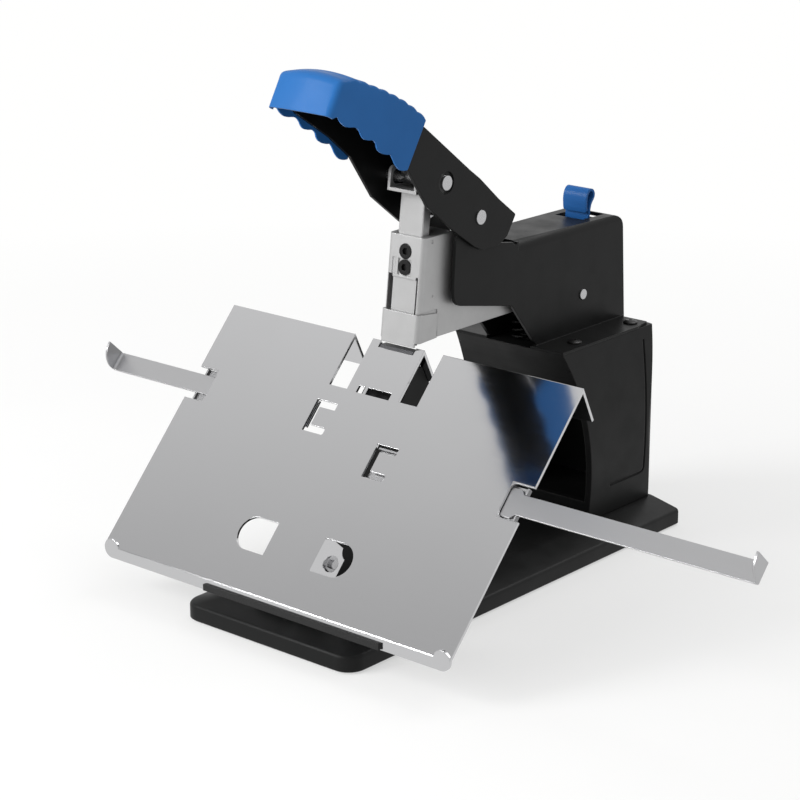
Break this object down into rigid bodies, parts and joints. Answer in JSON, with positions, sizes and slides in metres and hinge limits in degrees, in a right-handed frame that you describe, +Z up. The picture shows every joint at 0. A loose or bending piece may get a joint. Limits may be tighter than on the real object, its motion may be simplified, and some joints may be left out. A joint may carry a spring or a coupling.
{
  "type": "saddle stapler",
  "caption": "Hand-pressed saddle stapler with a pitched steel table, sliding paper guides, a cast head, a lever handle with a moulded grip and a slide-out magazine on a heavy base.",
  "frame": {"origin": "on the bench, under the ridge of the table, in the middle plane of the head", "axes": "+X to the right for a person who faces the grip, +Y towards the pedestal at the back, +Z up"},
  "size_m": [0.4555, 0.2973, 0.2995],
  "materials": {
    "black_casting": "satin black powder coat on cast iron",
    "black_sheet": "satin black powder coat on bent steel sheet",
    "rubber": "matt black rubber",
    "blue_grip": "smooth blue moulded cover",
    "blue_lever": "blue enamel on a bent steel strip",
    "polished_sheet": "mirror polished stainless sheet",
    "steel_fittings": "plain brushed steel",
    "grey_casting": "light grey satin finish on a zinc casting",
    "black_screws": "black oxide",
    "steel_pins": "turned and plated steel",
    "springs": "spring steel",
    "hard_steel": "hardened ground steel",
    "black_plastic": "moulded black plastic"
  },
  "bodies": {
    "frame": {"base_plate": "black_casting", "rubber_mat": "rubber", "pedestal": "black_casting", "pedestal_screws": "black_screws", "arm_housing": "black_sheet", "housing_screws": "black_screws", "rear_shaft": "steel_pins", "rear_shaft_clips": "steel_pins", "handle_pivot_pin": "steel_pins", "pivot_pin_clips": "steel_pins", "anvil_column": "black_casting", "column_screws": "black_screws", "anvil_block": "hard_steel", "anvil_screw": "black_screws", "saddle_table": "polished_sheet", "lip_bumper": "rubber", "table_pin": "steel_pins", "table_pin_clips": "steel_pins", "left_arm_rail": "steel_fittings", "right_arm_rail": "steel_fittings", "head_return_spring": "springs", "lever_pin": "steel_pins", "lever_spring": "springs"},
    "head": {"head_casting": "grey_casting", "guide_screws": "black_screws", "plunger_spring": "springs"},
    "magazine": {"nose_box": "grey_casting", "driver_guide": "hard_steel", "magazine_rail": "hard_steel", "pusher_ribbon": "springs", "staple_strip": "hard_steel"},
    "pusher": {"staple_pusher": "black_plastic", "pusher_coil": "springs"},
    "plunger": {"plunger": "grey_casting", "driver_blade": "hard_steel", "blade_screws": "black_screws"},
    "handle": {"handle_channel": "black_sheet", "grip_cover": "blue_grip", "link_pin": "steel_pins", "link_pin_clips": "black_screws"},
    "lever": {"release_lever": "blue_lever", "latch_hook": "black_sheet"},
    "left_arm": {"left_guide_arm": "polished_sheet"},
    "right_arm": {"right_guide_arm": "polished_sheet"}
  },
  "joints": [
    {"name": "handle_press", "type": "hinge", "parent": "frame", "child": "handle", "pos_m": [0, 0.0445, 0.209], "axis": [1, 0, 0], "range_deg": [0, 25], "stiffness_Nm_per_rad": 2, "springref_deg": -45.84},
    {"name": "head_dip", "type": "hinge", "parent": "frame", "child": "head", "pos_m": [0, 0.1435, 0.145], "axis": [1, 0, 0], "range_deg": [0, 0.71]},
    {"name": "plunger_drive", "type": "slide", "parent": "head", "child": "plunger", "axis": [0, -0.1132, -0.9936], "range_m": [0, 0.0139], "deforming": ["plunger_spring"]},
    {"name": "magazine_slide", "type": "slide", "parent": "head", "child": "magazine", "axis": [0, 1, 0], "range_m": [-0.07, 0]},
    {"name": "pusher_slide", "type": "slide", "parent": "magazine", "child": "pusher", "axis": [0, 1, 0], "range_m": [0, 0.034], "stiffness_N_per_m": 20, "springref_m": -0.15},
    {"name": "lever_release", "type": "hinge", "parent": "frame", "child": "lever", "pos_m": [0, 0.163, 0.158], "axis": [-1, 0, 0], "range_deg": [0, 12], "stiffness_Nm_per_rad": 0.06, "springref_deg": -28.65},
    {"name": "left_arm_slide", "type": "slide", "parent": "frame", "child": "left_arm", "axis": [-1, 0, 0], "range_m": [-0.06, 0.07]},
    {"name": "right_arm_slide", "type": "slide", "parent": "frame", "child": "right_arm", "axis": [1, 0, 0], "range_m": [-0.13, 0]}
  ],
  "couplings": [
    {"joint": "head_dip", "follows": "handle_press", "ratio": 0.028},
    {"joint": "plunger_drive", "follows": "handle_press", "m_per_rad": 0.0318}
  ]
}
